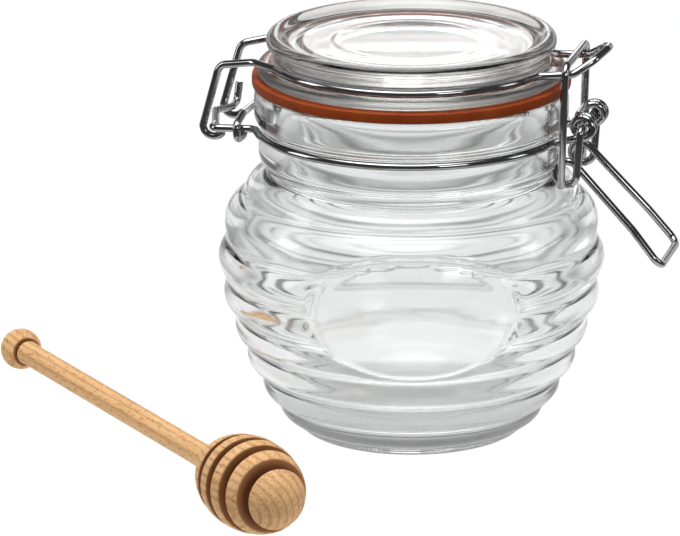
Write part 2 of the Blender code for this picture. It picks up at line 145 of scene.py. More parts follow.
# wire: its radius, its bends and the small chamfer at a cut end
WIRE_R = 1.05
WIRE_ROUND = 7
WIRE_SMOOTH = 40
BEND_STEP = math.radians(8)
RING_STEP = math.radians(3)
RING_MARGIN = math.radians(7)
SHORTEST_STEP = 0.05
ROOT_BEND = 2.6
CUT_EDGE = 0.3
CUT_SHARE = 0.78

# wire round the lid's neck, its hinge arms and its beak
LID_RING_R = 38.6
LID_RING_Z = 103.2
ARM_ROOT_Y = 21.0
ARM_KINK = Vector((-40.0, 14.6, 103.1))
ARM_KINK_BEND = 6.0
ARM_CORNER = Vector((-50.3, 11.7, 101.1))
ARM_BEND = 3.2
ARM_FOOT_Y = 11.0
HOOK_R = 3.0
HOOK_SWEEP = math.radians(148)
BEAK_ROOT_Y = 12.0
BEAK_ROOT_OUT = 0.5
BEAK_SIDE = Vector((46.6, 10.9, 103.9))
BEAK_SHOULDER = Vector((51.6, 8.0, 107.3))
BEAK_TIP = Vector((53.9, 1.6, 109.0))
BEAK_BEND = 4.0
BEAK_TIP_BEND = 1.6

# wire round the jar's neck
NECK_RING_R = 42.2
NECK_RING_Z = 84.3
STRETCH_Y = 13.6
CROSSBAR_APEX = Vector((-54.8, 1.0, 84.8))
CROSSBAR_BOW_Y = 9.2
CROSSBAR_BEND = 2.0
BOW_BEND = 1.5
STUB_Y = 14.3
STUB_TOP = Vector((-51.6, 14.6, 89.6))
TIE_FAR_CORNER = Vector((-44.6, 12.6, 86.0))
TIE_CROWN = Vector((-44.6, -9.0, 87.2))
TIE_NEAR_CORNER = Vector((-44.6, -16.2, 85.8))
TIE_LOW_CORNER = Vector((-44.4, -16.2, 81.7))
TIE_INNER_CORNER = Vector((-43.8, -11.0, 81.7))
TIE_END = Vector((-43.8, -11.0, 84.1))
TIE_BEND = 2.0
TIE_HOOK_BEND = 1.6
COIL_R = 2.65
COIL_OUTER_Y = 9.45
COIL_PITCH = 2.4
COIL_TURNS = 1.5
COIL_STEPS = 36
EYE_LEAD = Vector((1.6, 0.0, 0.2))
EYE_BEND = 2.0
BRIDGE_REACH = 2.0
BRIDGE_SIDE = 0.6
BRIDGE_DROP = 0.3
BRIDGE_BEND = 1.3

# lever
LEVER_Y = 11.9
LEVER_PIN_Y = 5.6
LEVER_PIN_BEND = 1.4
LOOP_MIDDLE = Vector((44.9, 0.0, 76.6))
LOOP_R = 3.0
LOOP_END_ANGLE = math.radians(45)
LOOP_STEPS = 40
HANDLE_ROOT_Y = 9.5
HANDLE_KNEE = Vector((63.2, 10.7, 61.8))
HANDLE_KNEE_BEND = 8.0
HANDLE_CORNER = Vector((70.95, 12.0, 52.55))
HANDLE_CORNER_BEND = 3.0

# link
LINK_Y = 14.3
LINK_FOOT = Vector((44.2, 14.3, 73.25))
LINK_BEND = 3.0

# dipper
BALL = Vector((-117.5, 22.9, 5.8))
HEAD = Vector((-20.4, -97.5, 12.53))
BALL_R = 5.68
BALL_GROOVE = (3.9, 4.9)
BALL_GROOVE_R = 2.6
BALL_STEPS = 24
BALL_GROOVE_LIP = 0.1
STICK_R = 3.2
STICK_EDGE = 0.1
STICK_COLLAR_R = 3.35
STICK_COLLAR_RISE = 0.2
STICK_COLLAR = 3.0
STICK_HEAD_R = 3.5
STICK_FLARE = 14.0
STICK_FLARE_RISE = 0.1
STICK_STEPS = 12
HEAD_HALF_LENGTH = 21.85
HEAD_R = 12.38
HEAD_GROOVES = [(-8.0, -5.0), (-1.2, 1.8), (5.7, 8.9), (12.9, 16.3)]
HEAD_CORE_R = 5.6
HEAD_BACK = -20.9
HEAD_BACK_EDGE = 0.6
HEAD_END_STEPS = 14
HEAD_RING_STEPS = 6
GROOVE_LIP = 0.25
GROOVE_FOOT = 0.3
GROOVE_WALL = 0.05
DIPPER_COLUMNS = 96
DIPPER_SMOOTH = 35

# painted shade in the grooves, darker the deeper the wood lies: depth of the darkest painted shade, and
# how far past a groove the mark reaches
GROOVE_SHADE_DEPTH = 5.0
GROOVE_SHADE_MARGIN = 0.02
BALL_GROOVE_SHADE_DEPTH = 1.6
BALL_GROOVE_SHADE_MARGIN = 0.05
BALL_GROOVE_SHADE_TOP = 0.4

# distances in metres below which points of a turned piece or of a wire are joined
TURNED_JOIN = 0.000002
WIRE_JOIN = 0.000001

# glass: clear colour and index, then the tint, slow waves (height in metres) and haze of each piece
CLEAR_GLASS = (0.995, 1.0, 0.998)
GLASS_INDEX = 1.5
JAR_TINT = (0.975, 0.99, 0.985)
JAR_WAVE_SCALE = 26.0
JAR_WAVE_HEIGHT = 0.00008
JAR_HAZE = 0.06
LID_TINT = (0.93, 0.92, 0.88)
LID_WAVE_SCALE = 40.0
LID_WAVE_HEIGHT = 0.00003
LID_HAZE = 0.16

# the jar's inner wall is this much as dull as its underside
INNER_HAZE = 0.15

# stippled underside of the jar: heights in metres between which the glass turns clear
STIPPLE_LOW = 0.0003
STIPPLE_TOP = 0.0008
STIPPLE_ROUGHNESS = 0.5

# unpolished outer edge of the lid: radii in metres between which the glass turns dull
DULL_EDGE_START = 0.0392
DULL_EDGE_R = 0.0402
DULL_ROUGHNESS = 0.4

# wire, rubber and beech: colours, and the scale of the wear on each wire
WIRE_STEEL = (0.45, 0.45, 0.46)
LID_WIRE_STEEL = (0.46, 0.46, 0.47)
WORN_SHARE = 0.84
NECK_WEAR_SCALE = 120.0
LID_WEAR_SCALE = 130.0
LEVER_WEAR_SCALE = 110.0
RUBBER_DARK = (0.26, 0.038, 0.003)
RUBBER_LIGHT = (0.36, 0.064, 0.005)
BEECH_DARK = (0.64, 0.35, 0.150)
BEECH_MIDDLE = (0.82, 0.50, 0.24)
BEECH_LIGHT = (0.88, 0.58, 0.31)
RING_DARK = (0.62, 0.29, 0.105)
RING_LIGHT = (0.87, 0.55, 0.27)
PORE = (0.46, 0.18, 0.06, 1.0)
FLECK = (0.36, 0.125, 0.035, 1.0)
# painted shade in the dipper's grooves, from their edge to their deepest part
GROOVE_SHADE_EDGE = (0.40, 0.165, 0.058)
GROOVE_SHADE_DEEP = (0.165, 0.053, 0.015)

# plain colours
BLACK = (0.0, 0.0, 0.0, 1.0)
WHITE = (1.0, 1.0, 1.0, 1.0)

# paper, in metres: size, place and colour; its body colour is near black, painted shade, so that the
# paper shows only its painted glow; and the brightness of that painted glow where it is painted dark
PAPER_SIZE = 2.6
PAPER_Z = -0.0003
PAPER_Y = 0.2
PAPER_PAINTED_DARK_BODY = (0.03, 0.03, 0.03, 1.0)
PAINTED_DARK_PAPER = 0.08
# painted light of the paper behind the jar, by the cosine of the angle to straight back; in front of
# the jar the paper is painted dark
STRAIGHT_BACK = (-0.225, 0.974, 0.0)
BACK_DARK = 0.0
BACK_LIT = 0.6
# painted pool of light close round the jar, which fades out between these radii
PATCH_R = 0.1
PATCH_END_R = 0.19
PAPER_REACH = 1.0
# painted glow of the paper from the jar outwards, as (share of the reach, brightness): a painted shadow
# under the jar, a painted pool of light round it, then darker outwards
PAPER_PAINTED_GLOW = [(0.04, 0.56), (0.065, 0.92), (0.2, 0.86), (0.36, 0.5), (0.7, 0.42), (0.8, 0.22)]

# round sheet of light above the jar, in metres
SHEET_PLACE = (-0.1, -0.3, 1.3)
SHEET_R = 1.0
SHEET_BRIGHT_R = 0.3
SHEET_LIGHT = 4.8
SHEET_CORNERS = 48

# lamps, in metres: name, place, the point that it faces, width, height and brightness
ROOM_LIGHT = (0.07, 0.07, 0.07, 1.0)
LAMPS = [("back_low", (-0.46, 2.0, 0.18), (0, 0, 0.18), 4.2, 0.56, 0.85),
         ("back_high", (-0.46, 2.0, 0.95), (0, 0, 0.5), 4.2, 1.0, 0.3),
         ("back_window", (-0.36, 1.9, 0.62), (0, 0, 0.1), 0.36, 0.3, 2.3),
         ("left_box", (-1.25, -0.35, 0.5), (0, 0, 0.05), 0.45, 0.9, 2.6),
         ("right_box", (1.3, 0.1, 0.4), (0, 0, 0.05), 0.3, 0.6, 2.2),
         ("front_box", (1.5, -1.6, 0.9), (0, 0, 0.05), 0.8, 0.6, 4.4)]


def leave_all():
    bpy.ops.object.select_all(action="DESELECT")


def edit_all():
    bpy.ops.object.mode_set(mode="EDIT")
    bpy.ops.mesh.select_all(action="SELECT")


def keep_only(obj):
    """Selects this piece alone and makes it the active one."""
    leave_all()
    obj.select_set(True)
    bpy.context.view_layer.objects.active = obj


def smooth_by(obj, degrees):
    keep_only(obj)
    bpy.ops.object.shade_smooth_by_angle(angle=math.radians(degrees))


def turned(name, outline, columns, smooth, closed=False):
    """Turns an outline of (radius, z) points about Z, as on a lathe."""
    count = len(outline)
    leave_all()
    bpy.ops.mesh.primitive_circle_add(vertices=count if closed else count + 1, radius=1.0)
    obj = bpy.context.active_object
    obj.name = name
    obj.data.name = name
    for vert, (r, z) in zip(obj.data.vertices, outline):
        vert.co = (r * MM, 0.0, z * MM)
    if not closed:
        for vert in obj.data.vertices:
            vert.select = vert.index == count
        for edge in obj.data.edges:
            edge.select = False
        bpy.ops.object.mode_set(mode="EDIT")
        bpy.ops.mesh.delete(type="VERT")
        bpy.ops.object.mode_set(mode="OBJECT")
    edit_all()
    bpy.ops.mesh.spin(steps=columns, angle=FULL_TURN, center=(0, 0, 0), axis=(0, 0, 1))
    bpy.ops.mesh.select_all(action="SELECT")
    bpy.ops.mesh.remove_doubles(threshold=TURNED_JOIN)
    bpy.ops.mesh.normals_make_consistent(inside=False)
    bpy.ops.object.mode_set(mode="OBJECT")
    smooth_by(obj, smooth)
    return obj


def at_height(table, z):
    """Straight-line reading of a (z, value) table that runs upwards."""
    for (z0, v0), (z1, v1) in zip(table, table[1:]):
        if z <= z1:
            return v0 + (v1 - v0) * (z - z0) / (z1 - z0)
    return table[-1][1]


def bulged(start, end, bulge, steps):
    """Points of a shallow bow from one (radius, z) point to the next, without the last."""
    length = math.hypot(end[0] - start[0], end[1] - start[1])
    across = ((start[1] - end[1]) / length, (end[0] - start[0]) / length)
    points = []
    for i in range(steps):
        t = i / steps
        rise = 4 * t * (1 - t) * bulge
        points.append((start[0] + (end[0] - start[0]) * t + across[0] * rise,
                       start[1] + (end[1] - start[1]) * t + across[1] * rise))
    return points


def softened(outline, rounds):
    """The outline with every corner cut, so that the curve is smooth; its two ends stay."""
    for _ in range(rounds):
        finer = [outline[0]]
        for (r0, z0), (r1, z1) in zip(outline, outline[1:]):
            finer.append((r0 * 0.75 + r1 * 0.25, z0 * 0.75 + z1 * 0.25))
            finer.append((r0 * 0.25 + r1 * 0.75, z0 * 0.25 + z1 * 0.75))
        finer.append(outline[-1])
        outline = finer
    return outline


def rounded(outline, rounds):
    """The outline with its sharp valleys rounded by averaging each point with its neighbours."""
    for _ in range(rounds):
        middle = [((r0 + 2 * r1 + r2) / 4, (z0 + 2 * z1 + z2) / 4) for (r0, z0), (r1, z1), (r2, z2)
                  in zip(outline, outline[1:], outline[2:])]
        outline = [outline[0]] + middle + [outline[-1]]
    return outline


def rib_outline():
    """The jar's outer side from the shoulder down to the edge of the base."""
    ribs = bulged(SHOULDER_TOP, (RIB_GROOVES[0][1], RIB_GROOVES[0][0]), SHOULDER_BULGE, RIB_STEPS)
    for upper, lower, bulge in zip(RIB_GROOVES, RIB_GROOVES[1:], RIB_BULGE):
        ribs += bulged((upper[1], upper[0]), (lower[1], lower[0]), bulge, RIB_STEPS)
    ribs.append((RIB_GROOVES[-1][1], RIB_GROOVES[-1][0]))
    return rounded(ribs, VALLEY_ROUNDS)


def jar_outline():
    """From the middle of the underside up the ribs to the rim and down the inside."""
    down = softened(NECK_OUTSIDE, NECK_ROUNDS) + rib_outline()
    return [(0.0, 0.0)] + list(reversed(down)) + softened(JAR_INSIDE, INSIDE_ROUNDS)


def panel_reach(angle, z):
    """0 in the middle of the plain oval field, 1 on its edge."""
    across = abs(angle) / PANEL_HALF_ANGLE
    along = abs(z - PANEL_MID_Z) / PANEL_HALF_HEIGHT
    return across ** PANEL_POWER + along ** PANEL_POWER


def eased(value, start, end):
    """0 before start, 1 after end, with a soft step between them."""
    t = min(1.0, max(0.0, (value - start) / (end - start)))
    return t * t * (3 - 2 * t)


def wall_line():
    """The inner wall as a (z, radius) table that runs upwards."""
    return [(z, r) for r, z in reversed(JAR_INSIDE)]


def from_axis(vert):
    """Distance of a mesh point from the Z axis and its height, in millimetres."""
    return math.hypot(vert.co.x, vert.co.y) / MM, vert.co.z / MM


def from_panel(vert):
    """Angle of a mesh point from the middle of the oval field."""
    turn = math.atan2(vert.co.y, vert.co.x) - PANEL_AZIMUTH
    return (turn + math.pi) % FULL_TURN - math.pi


def press_oval(obj):
    """Clears the ribs inside the oval field on the front and leaves a shallow valley round it."""
    inside = wall_line()
    crest = softened(RIB_CREST, CREST_ROUNDS)
    for vert in obj.data.vertices:
        r, z = from_axis(vert)
        if abs(z - PANEL_MID_Z) > PANEL_HALF_HEIGHT * PANEL_MARGIN:
            continue
        if r < at_height(inside, z) + WALL_MARGIN:
            continue
        reach = panel_reach(from_panel(vert), z)
        share = 1.0 - eased(reach, 1.0, 1.0 + PANEL_BLEND)
        valley = 1.0 - eased(abs(reach - PANEL_VALLEY_REACH), 0.0, PANEL_VALLEY_HALF)
        new = r + (at_height(crest, z) - PANEL_VALLEY * valley - r) * share
        vert.co.x *= new / r
        vert.co.y *= new / r


def inside_wave(turn, z):
    """Height of the soft waves of the inner wall, at an angle round the jar."""
    return sum(height * math.sin(count * turn + z / span + count)
               for height, count, span in INSIDE_WAVES)


def blow_inside(obj):
    """The inner wall follows the ribs in part, in soft waves, except behind the oval field."""
    inside = wall_line()
    ribs = [(z, r) for r, z in reversed(rib_outline())]
    crest = softened(RIB_CREST, CREST_ROUNDS)
    for vert in obj.data.vertices:
        r, z = from_axis(vert)
        between = eased(z, *INSIDE_START) * (1.0 - eased(z, *INSIDE_END))
        fade = between * eased(panel_reach(from_panel(vert), z), *INSIDE_ASIDE)
        if fade == 0.0 or r > at_height(inside, z) + WALL_MARGIN:
            continue
        wave = inside_wave(math.atan2(vert.co.y, vert.co.x), z)
        groove = max(0.0, at_height(crest, z) - at_height(ribs, z))
        new = r + fade * (wave - INSIDE_FOLLOW * groove)
        vert.co.x *= new / r
        vert.co.y *= new / r


def mark_inside(obj):
    """Marks the inner wall of the jar, which is a little hazier than the outside."""
    inside = wall_line()
    mark = obj.data.attributes.new("inner_wall", "FLOAT", "POINT")
    for vert, value in zip(obj.data.vertices, mark.data):
        r, z = from_axis(vert)
        on_floor = INNER_FLOOR_LOW < z < INNER_FLOOR_TOP and r < INNER_FLOOR_R
        on_wall = z > INNER_FLOOR_TOP and r < at_height(inside, z) + WALL_MARGIN
        value.value = 1.0 if on_floor or on_wall else 0.0


def press_teeth(obj):
    """Fine teeth round the edge of the base."""
    for vert in obj.data.vertices:
        r, z = from_axis(vert)
        if TOOTH_LOW_Z < z < TOOTH_TOP_Z and r > TOOTH_INNER_R:
            column = round(math.atan2(vert.co.y, vert.co.x) / FULL_TURN * JAR_COLUMNS)
            new = r - TOOTH_RISE * (column % 2)
            vert.co.x *= new / r
            vert.co.y *= new / r


def make_jar(mat):
    obj = turned("jar_body", jar_outline(), JAR_COLUMNS, JAR_SMOOTH)
    press_oval(obj)
    press_teeth(obj)
    mark_inside(obj)
    blow_inside(obj)
    dress(obj, mat, "jar", "jar_glass")


def make_lid(mat):
    obj = turned("lid_disc", softened(LID_OUTLINE, LID_ROUNDS), LID_COLUMNS, LID_SMOOTH)
    dress(obj, mat, "lid", "lid_glass")


def make_seal(mat):
    obj = turned("seal", SEAL_OUTLINE, SEAL_COLUMNS, SEAL_SMOOTH, closed=True)
    dress(obj, mat, "lid", "seal_ring")


def dress(obj, mat, body, node):
    """Gives a piece its finish, hangs it on the empty of the body that it rides on, and hides the CAD
    part that it stands for.
    """
    obj.data.materials.clear()
    obj.data.materials.append(mat)
    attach(obj, body)
    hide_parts(node)


def bent(corners):
    """A wire's centre line through corner points, each rounded to its own bend radius."""
    points = [corners[0][0]]
    for (before, _), (corner, radius), (after, _) in zip(corners, corners[1:], corners[2:]):
        back = (before - corner).normalized()
        ahead = (after - corner).normalized()
        opening = back.angle(ahead)
        turn = math.pi - opening
        middle = corner + (back + ahead).normalized() * radius / math.sin(opening / 2)
        first = corner + back * radius * math.tan(turn / 2) - middle
        axis = back.cross(first).normalized()
        steps = max(1, math.ceil(turn / BEND_STEP))
        for i in range(steps + 1):
            points.append(middle + Matrix.Rotation(turn * i / steps, 3, axis) @ first)
    points.append(corners[-1][0])
    return points


def on_ring(radius, z, angle):
    return Vector((radius * math.cos(angle), radius * math.sin(angle), z))


def ring_part(radius, z, start, end):
    """Points of a round wire from one angle to another, both included."""
    steps = max(1, round(abs(end - start) / RING_STEP))
    return [on_ring(radius, z, start + (end - start) * i / steps) for i in range(steps + 1)]


def mirrored(points):
    """The same points on the other side of the jar, in the opposite order."""
    return [Vector((p.x, -p.y, p.z)) for p in reversed(points)]


def wire(name, points, mat, body, node):
    """A round wire along a centre line, its cut ends with a small chamfer."""
    kept = [points[0]]
    for p in points[1:]:
        if (p - kept[-1]).length > SHORTEST_STEP:
            kept.append(p)
    first = kept[0] + (kept[1] - kept[0]).normalized() * CUT_EDGE
    last = kept[-1] + (kept[-2] - kept[-1]).normalized() * CUT_EDGE
    kept = [kept[0], first] + kept[1:-1] + [last, kept[-1]]
    leave_all()
    bpy.ops.curve.primitive_bezier_curve_add()
    obj = bpy.context.active_object
    obj.name = name
    curve = obj.data
    curve.splines.clear()
    line = curve.splines.new("POLY")
    line.points.add(len(kept) - 1)
    for point, place in zip(line.points, kept):
        point.co = (*(place * MM), 1.0)
    line.points[0].radius = CUT_SHARE
    line.points[-1].radius = CUT_SHARE
    curve.dimensions = "3D"
    curve.bevel_depth = WIRE_R * MM
    curve.bevel_resolution = WIRE_ROUND
    curve.use_fill_caps = True
    bpy.ops.object.convert(target="MESH")
    obj = bpy.context.active_object
    obj.data.name = name
    edit_all()
    bpy.ops.mesh.remove_doubles(threshold=WIRE_JOIN)
    bpy.ops.mesh.normals_make_consistent(inside=False)
    bpy.ops.object.mode_set(mode="OBJECT")
    smooth_by(obj, WIRE_SMOOTH)
    dress(obj, mat, body, node)


def lid_wire_half():
    """One side of the lid's wire, from the hook at the hinge to the tip of the beak."""
    hook = []
    steps = math.ceil(HOOK_SWEEP / BEND_STEP)
    for i in range(steps + 1):
        a = HOOK_SWEEP * (1 - i / steps)
        hook.append(HINGE + Vector((-HOOK_R * math.cos(a), ARM_FOOT_Y, -HOOK_R * math.sin(a))))
    arm_root = math.pi - math.asin(ARM_ROOT_Y / LID_RING_R)
    ring_start = arm_root - RING_MARGIN
    ring_end = math.asin(BEAK_ROOT_Y / LID_RING_R) + RING_MARGIN
    ring = ring_part(LID_RING_R, LID_RING_Z, ring_start, ring_end)
    arm = bent([(hook[-1], 0.0), (ARM_CORNER, ARM_BEND), (ARM_KINK, ARM_KINK_BEND),
                (on_ring(LID_RING_R, LID_RING_Z, arm_root), ARM_KINK_BEND), (ring[0], 0.0)])
    beak_root = on_ring(LID_RING_R, LID_RING_Z, math.asin(BEAK_ROOT_Y / LID_RING_R))
    beak_root.x += BEAK_ROOT_OUT
    beak = bent([(ring[-1], 0.0), (beak_root, ROOT_BEND), (BEAK_SIDE, BEAK_BEND),
                 (BEAK_SHOULDER, BEAK_BEND), (BEAK_TIP, BEAK_TIP_BEND),
                 (Vector((BEAK_TIP.x, 0.0, BEAK_TIP.z)), 0.0)])
    return hook[:-1] + arm + ring[1:-1] + beak


def coil(side):
    """One eye at the latch, from the neck towards the middle of the jar; side is -1 or +1."""
    points = []
    steps = round(COIL_TURNS * COIL_STEPS)
    for i in range(steps + 1):
        turn = FULL_TURN * COIL_TURNS * i / steps
        y = COIL_OUTER_Y - COIL_PITCH * COIL_TURNS * i / steps
        spot = Vector((COIL_R * math.sin(turn), side * y, -COIL_R * math.cos(turn)))
        points.append(LEVER_PIVOT + spot)
    return points


def latch_side(side):
    """The neck wire from the ring out to its eye, ending at the bridge between the eyes."""
    root_angle = side * math.asin(COIL_OUTER_Y / NECK_RING_R)
    start = on_ring(NECK_RING_R, NECK_RING_Z, root_angle + side * RING_MARGIN)
    root = on_ring(NECK_RING_R, NECK_RING_Z, root_angle)
    eye = coil(side)
    run = bent([(start, 0.0), (root, ROOT_BEND), (eye[0] - EYE_LEAD, EYE_BEND), (eye[0], 0.0)])
    inner = eye[-1]
    corner = inner - Vector((BRIDGE_REACH, side * BRIDGE_SIDE, BRIDGE_DROP))
    bridge = bent([(inner, 0.0), (corner, BRIDGE_BEND), (Vector((corner.x, 0.0, corner.z)), 0.0)])
    return run + eye[1:-1] + bridge


def hinge_line(y):
    """The point of the hinge's axis at this distance from the middle."""
    return Vector((HINGE.x, y, HINGE.z))


def neck_wire_path():
    """The whole neck wire, from its upright end past the crossbar and both eyes to the tie."""
    near_root = -math.pi + math.asin(STRETCH_Y / NECK_RING_R)
    far_root = math.pi - math.asin(TIE_FAR_CORNER.y / NECK_RING_R)
    eye_root = math.asin(COIL_OUTER_Y / NECK_RING_R) + RING_MARGIN
    near_ring = ring_part(NECK_RING_R, NECK_RING_Z, near_root + RING_MARGIN, -eye_root)
    far_ring = ring_part(NECK_RING_R, NECK_RING_Z, eye_root, far_root - RING_MARGIN)
    near = bent([(STUB_TOP, 0.0), (hinge_line(STUB_Y), CROSSBAR_BEND),
                 (hinge_line(CROSSBAR_BOW_Y), BOW_BEND), (CROSSBAR_APEX, BOW_BEND),
                 (hinge_line(-CROSSBAR_BOW_Y), BOW_BEND), (hinge_line(-STRETCH_Y), CROSSBAR_BEND),
                 (on_ring(NECK_RING_R, NECK_RING_Z, near_root), ROOT_BEND), (near_ring[0], 0.0)])
    tie = bent([(far_ring[-1], 0.0), (on_ring(NECK_RING_R, NECK_RING_Z, far_root), TIE_BEND),
                (TIE_FAR_CORNER, TIE_BEND), (TIE_CROWN, TIE_BEND), (TIE_NEAR_CORNER, TIE_HOOK_BEND),
                (TIE_LOW_CORNER, TIE_HOOK_BEND), (TIE_INNER_CORNER, TIE_HOOK_BEND), (TIE_END, 0.0)])
    path = near + near_ring[1:-1] + latch_side(-1)
    return path + list(reversed(latch_side(1))) + far_ring[1:-1] + tie


def lever_half():
    """One side of the lever, from its pin in the eye to the middle of the grip."""
    down = LOOP_MIDDLE - LEVER_PIVOT
    heading = math.atan2(down.z, down.x) + math.asin(LOOP_R / down.length)
    touch = math.sqrt(down.length ** 2 - LOOP_R ** 2)
    entry = LEVER_PIVOT + Vector((math.cos(heading), 0.0, math.sin(heading))) * touch
    start = math.atan2((entry - LOOP_MIDDLE).z, (entry - LOOP_MIDDLE).x)
    sweep = FULL_TURN + start - LOOP_END_ANGLE
    loop = []
    for i in range(LOOP_STEPS + 1):
        t = i / LOOP_STEPS
        a = start - sweep * t
        y = LEVER_Y + (HANDLE_ROOT_Y - LEVER_Y) * t
        loop.append(LOOP_MIDDLE + Vector((LOOP_R * math.cos(a), y, LOOP_R * math.sin(a))))
    pin = bent([(LEVER_PIVOT + Vector((0.0, LEVER_PIN_Y, 0.0)), 0.0),
                (LEVER_PIVOT + Vector((0.0, LEVER_Y, 0.0)), LEVER_PIN_BEND), (loop[0], 0.0)])
    grip = bent([(loop[-1], 0.0), (HANDLE_KNEE, HANDLE_KNEE_BEND),
                 (HANDLE_CORNER, HANDLE_CORNER_BEND),
                 (Vector((HANDLE_CORNER.x, 0.0, HANDLE_CORNER.z)), 0.0)])
    return pin[:-1] + loop[:-1] + grip


def link_path():
    """The link, from one foot over its top to the other foot."""
    foot = LINK_FOOT
    top = LINK_TOP + Vector((0.0, LINK_Y, 0.0))
    other_top = LINK_TOP - Vector((0.0, LINK_Y, 0.0))
    other_foot = Vector((foot.x, -foot.y, foot.z))
    return bent([(foot, 0.0), (top, LINK_BEND), (other_top, LINK_BEND), (other_foot, 0.0)])


def head_radius(s):
    """Radius of the dipper's egg-shaped head at a distance from its middle."""
    return HEAD_R * math.sqrt(max(0.0, 1 - (s / HEAD_HALF_LENGTH) ** 2))


def ring_outline(length, start, end, first, last):
    """One ring of the head, or one of its two ends, with softened lips at the grooves beside it."""
    points = []
    lip_in = start if first else start + GROOVE_LIP
    lip_out = end if last else end - GROOVE_LIP
    if not first:
        points.append((head_radius(start) - GROOVE_LIP, length + start))
    steps = HEAD_END_STEPS if first or last else HEAD_RING_STEPS
    for i in range(steps + 1):
        t = i / steps
        s = lip_in + (lip_out - lip_in) * t
        if last:
            s = lip_in + (lip_out - lip_in) * math.sin(math.pi / 2 * t)
        elif first:
            s = lip_out - (lip_out - lip_in) * math.cos(math.pi / 2 * t)
        points.append((head_radius(s), length + s))
    if not last:
        points.append((head_radius(end) - GROOVE_LIP, length + end))
    return points


def dipper_outline(length):
    """(radius, distance from the ball's middle) along the dipper, ball first."""
    outline = [(0.0, -BALL_R)]
    end_angle = math.acos(-BALL_GROOVE[0] / BALL_R)
    for i in range(1, BALL_STEPS + 1):
        a = end_angle * i / BALL_STEPS
        outline.append((BALL_R * math.sin(a), -BALL_R * math.cos(a)))
    outline += [(BALL_GROOVE_R, BALL_GROOVE[0] + BALL_GROOVE_LIP),
                (BALL_GROOVE_R, BALL_GROOVE[1] - BALL_GROOVE_LIP),
                (STICK_R - STICK_EDGE, BALL_GROOVE[1]),
                (STICK_COLLAR_R, BALL_GROOVE[1] + STICK_COLLAR_RISE)]
    stick_start = BALL_GROOVE[1] + STICK_COLLAR
    stick_end = length + HEAD_BACK - STICK_FLARE
    for i in range(STICK_STEPS + 1):
        outline.append((STICK_R, stick_start + (stick_end - stick_start) * i / STICK_STEPS))
    outline += [(STICK_R + STICK_FLARE_RISE, stick_end + STICK_FLARE / 2),
                (STICK_HEAD_R, length + HEAD_BACK)]
    starts = [HEAD_BACK + HEAD_BACK_EDGE] + [end for _, end in HEAD_GROOVES]
    ends = [start for start, _ in HEAD_GROOVES] + [HEAD_HALF_LENGTH]
    last = len(starts) - 1
    for k, (start, end) in enumerate(zip(starts, ends)):
        outline += ring_outline(length, start, end, k == 0, k == last)
        if k < last:
            ahead = starts[k + 1]
            outline += [(HEAD_CORE_R + GROOVE_FOOT, length + end + GROOVE_WALL),
                        (HEAD_CORE_R, length + end + GROOVE_FOOT),
                        (HEAD_CORE_R, length + ahead - GROOVE_FOOT),
                        (HEAD_CORE_R + GROOVE_FOOT, length + ahead - GROOVE_WALL)]
    return outline


def mark_wood(obj, length):
    """Keeps each point's place on the lathe, and how deep it lies in a groove, for the painted shade
    there.
    """
    place = obj.data.attributes.new("lathe_place", "FLOAT_VECTOR", "POINT")
    for vert, spot in zip(obj.data.vertices, place.data):
        spot.vector = vert.co
    # painted shade: the deeper a point lies in a groove, the darker it is painted
    mark = obj.data.attributes.new("painted_groove_shade", "FLOAT", "POINT")
    for vert, value in zip(obj.data.vertices, mark.data):
        r, s = from_axis(vert)
        depth = 0.0
        if BALL_GROOVE[0] - BALL_GROOVE_SHADE_MARGIN < s < BALL_GROOVE[1] + BALL_GROOVE_SHADE_MARGIN:
            depth = (STICK_R + BALL_GROOVE_SHADE_TOP - r) / BALL_GROOVE_SHADE_DEPTH
        for start, end in HEAD_GROOVES:
            if start - GROOVE_SHADE_MARGIN < s - length < end + GROOVE_SHADE_MARGIN:
                depth = (head_radius(s - length) - r) / GROOVE_SHADE_DEPTH
        value.value = min(1.0, max(0.0, depth))


def make_dipper(mat):
    along = HEAD - BALL
    obj = turned("honey_dipper", dipper_outline(along.length), DIPPER_COLUMNS, DIPPER_SMOOTH)
    mark_wood(obj, along.length)
    place = Matrix.Translation(BALL * MM) @ along.to_track_quat("Z", "Y").to_matrix().to_4x4()
    obj.data.transform(place)
    dress(obj, mat, "jar", "dipper")


class Nodes:
    """A material's node tree with short calls to add and join nodes."""

    def __init__(self, tree):
        self.tree = tree

    def add(self, kind, inputs=None, **settings):
        """A new node, its inputs linked where a socket is given and set where a value is."""
        node = self.tree.nodes.new(kind)
        for key, value in settings.items():
            setattr(node, key, value)
        for key, value in (inputs or {}).items():
            if isinstance(value, bpy.types.NodeSocket):
                self.tree.links.new(value, node.inputs[key])
            else:
                node.inputs[key].default_value = value
        return node

    def ramp(self, factor, stops):
        """A colour ramp with these (place, colour) stops."""
        node = self.add("ShaderNodeValToRGB", {"Fac": factor})
        while len(node.color_ramp.elements) < len(stops):
            node.color_ramp.elements.new(0.5)
        for element, (place, colour) in zip(node.color_ramp.elements, stops):
            element.position = place
            element.color = (*colour, 1.0)
        return node.outputs["Color"]

    def mix(self, share, first, second):
        """The first colour, with this share of the second."""
        node = self.add("ShaderNodeMixRGB", {"Fac": share, "Color1": first, "Color2": second})
        return node.outputs["Color"]


def new_material(name):
    mat = bpy.data.materials.new(name)
    mat.use_nodes = True
    return mat, Nodes(mat.node_tree), mat.node_tree.nodes["Principled BSDF"]


def join(mat, shader, **sockets):
    """Links sockets to the shader's inputs of the same names."""
    for key, value in sockets.items():
        mat.node_tree.links.new(value, shader.inputs[key.replace("_", " ")])


def surface_group(name, outputs):
    """An empty group with a Scale input and these outputs, ready for its own nodes."""
    tree = bpy.data.node_groups.new(name, "ShaderNodeTree")
    tree.interface.new_socket("Scale", in_out="INPUT", socket_type="NodeSocketFloat")
    for output, kind in outputs:
        tree.interface.new_socket(output, in_out="OUTPUT", socket_type=kind)
    n = Nodes(tree)
    return tree, n, n.add("NodeGroupInput"), n.add("NodeGroupOutput")


